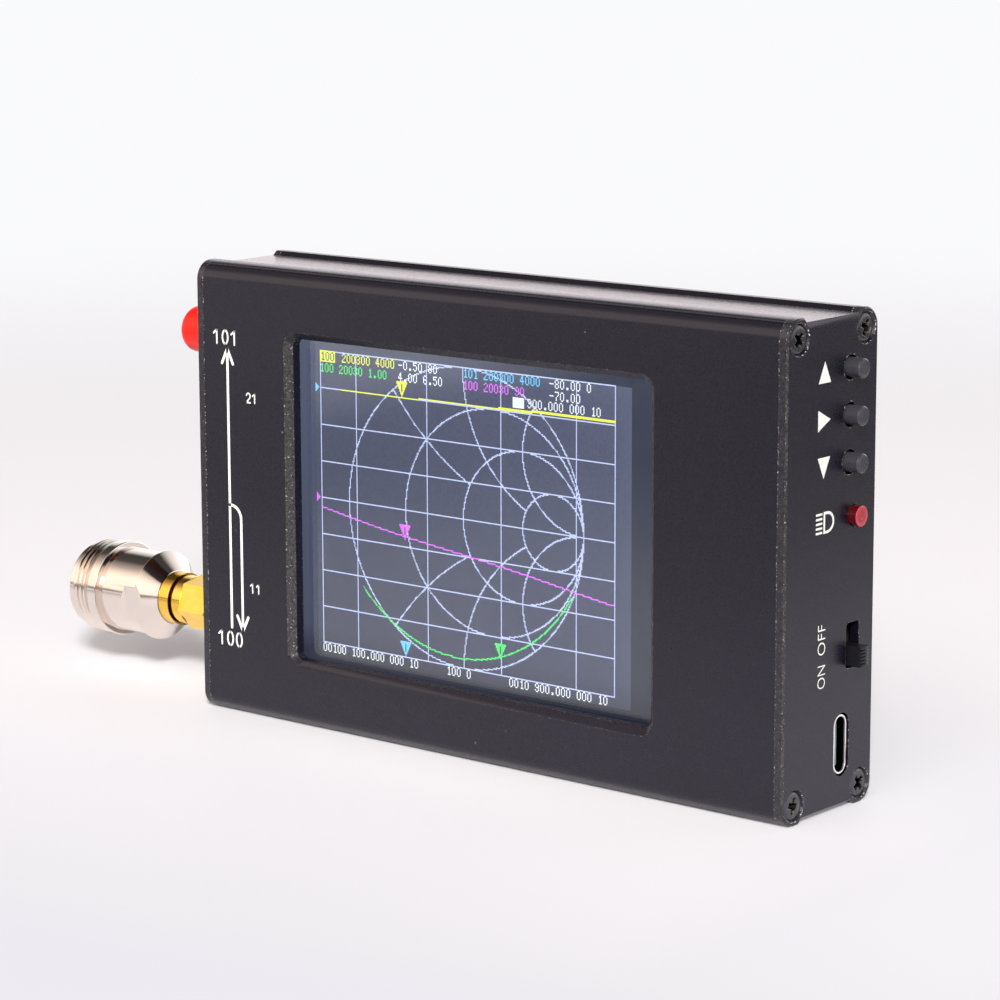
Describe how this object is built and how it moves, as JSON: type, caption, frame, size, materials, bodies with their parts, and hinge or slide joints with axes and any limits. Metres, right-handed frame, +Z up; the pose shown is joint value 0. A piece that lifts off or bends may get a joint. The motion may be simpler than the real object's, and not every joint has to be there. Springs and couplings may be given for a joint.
{
  "type": "antenna analyzer",
  "caption": "Handheld antenna analyzer in a flat extruded metal case with a touch display, side buttons, a slide switch, a capped port and a screwed-on coaxial adapter.",
  "frame": {"origin": "centre of the whole part's footprint, on the surface that the case's lower rails stand on", "axes": "+X along the case towards the end plate with the buttons, -Y out of the display, +Z up"},
  "size_m": [0.156, 0.0228, 0.0736],
  "materials": {
    "case_metal": "charcoal anodised, satin",
    "screw_metal": "black oxide",
    "gasket_foam": "black foam tape",
    "touch_glass": "clear, glossy",
    "lcd_cell": "lit display",
    "lcd_tray": "pressed steel tray",
    "ribbon": "amber film ribbon",
    "socket_plastic": "ivory nylon",
    "foam": "black foam",
    "board": "green solder mask",
    "tin_can": "tinned",
    "chip": "black moulded package",
    "battery_skin": "foil pouch",
    "lead_skin": "insulated lead",
    "button_black": "black moulded",
    "switch_black": "black moulded",
    "lamp_red": "clear red",
    "leg_metal": "tinned wire",
    "knob_black": "black moulded",
    "usb_metal": "bright nickel",
    "usb_plastic": "black moulded",
    "port_gold": "gold plated",
    "port_white": "white fluoropolymer",
    "cap_red": "red soft plastic",
    "adapter_gold": "polished gold plated",
    "adapter_nickel": "polished nickel plated",
    "spring_bronze": "spring bronze",
    "seal_rubber": "silicone"
  },
  "bodies": {
    "case": {"back_shell": "case_metal", "battery": "battery_skin", "battery_leads": "lead_skin", "battery_pad": "foam", "battery_plug": "socket_plastic", "charger_chip": "chip", "charger_coil": "chip", "clock_oscillator": "tin_can", "control_chip": "chip", "display_foam_pads": "foam", "display_gasket": "gasket_foam", "down_switch": "switch_black", "flex_connector": "socket_plastic", "front_shell": "case_metal", "indicator_lamp": "lamp_red", "lamp_holder": "switch_black", "lamp_legs": "leg_metal", "lcd_flex": "ribbon", "lcd_frame": "lcd_tray", "lcd_panel": "lcd_cell", "left_end_plate": "case_metal", "left_plate_screws": "screw_metal", "lower_port_contact": "port_gold", "lower_port_insulator": "port_white", "lower_port_jack": "port_gold", "lower_port_nut": "port_gold", "lower_port_shield": "tin_can", "main_board": "board", "mixer_shield": "tin_can", "power_switch_body": "switch_black", "right_end_plate": "case_metal", "right_plate_screws": "screw_metal", "select_switch": "switch_black", "touch_glass": "touch_glass", "up_switch": "switch_black", "upper_port_contact": "port_gold", "upper_port_insulator": "port_white", "upper_port_jack": "port_gold", "upper_port_nut": "port_gold", "upper_port_shield": "tin_can", "usb_shell": "usb_metal", "usb_tongue": "usb_plastic"},
    "up_button": {"up_button": "button_black"},
    "select_button": {"select_button": "button_black"},
    "down_button": {"down_button": "button_black"},
    "power_knob": {"power_switch_knob": "knob_black"},
    "dust_cap": {"dust_cap": "cap_red"},
    "adapter": {"adapter_plug": "adapter_gold", "adapter_body": "adapter_nickel", "adapter_dielectric": "port_white", "adapter_contact": "port_gold", "adapter_snap_ring": "spring_bronze", "adapter_seal": "seal_rubber"},
    "adapter_nut": {"adapter_nut": "adapter_gold"}
  },
  "joints": [
    {"name": "up_press", "type": "slide", "parent": "case", "child": "up_button", "axis": [-1, 0, 0], "range_m": [0, 0.00025], "stiffness_N_per_m": 600, "springref_m": -0.0015},
    {"name": "select_press", "type": "slide", "parent": "case", "child": "select_button", "axis": [-1, 0, 0], "range_m": [0, 0.00025], "stiffness_N_per_m": 600, "springref_m": -0.0015},
    {"name": "down_press", "type": "slide", "parent": "case", "child": "down_button", "axis": [-1, 0, 0], "range_m": [0, 0.00025], "stiffness_N_per_m": 600, "springref_m": -0.0015},
    {"name": "power_slide", "type": "slide", "parent": "case", "child": "power_knob", "axis": [0, 0, 1], "range_m": [0, 0.003]},
    {"name": "cap_pull", "type": "slide", "parent": "case", "child": "dust_cap", "axis": [-1, 0, 0], "range_m": [0, 0.01]},
    {"name": "adapter_unscrew", "type": "slide", "parent": "case", "child": "adapter", "axis": [-1, 0, 0], "range_m": [0, 0.0041]},
    {"name": "nut_turn", "type": "hinge", "parent": "adapter", "child": "adapter_nut", "pos_m": [-0.0515, 0.00217, 0.0135], "axis": [-1, 0, 0], "range_deg": [0, 2092.5]}
  ],
  "couplings": [
    {"joint": "nut_turn", "follows": "adapter_unscrew", "rad_per_m": 8905.2}
  ]
}
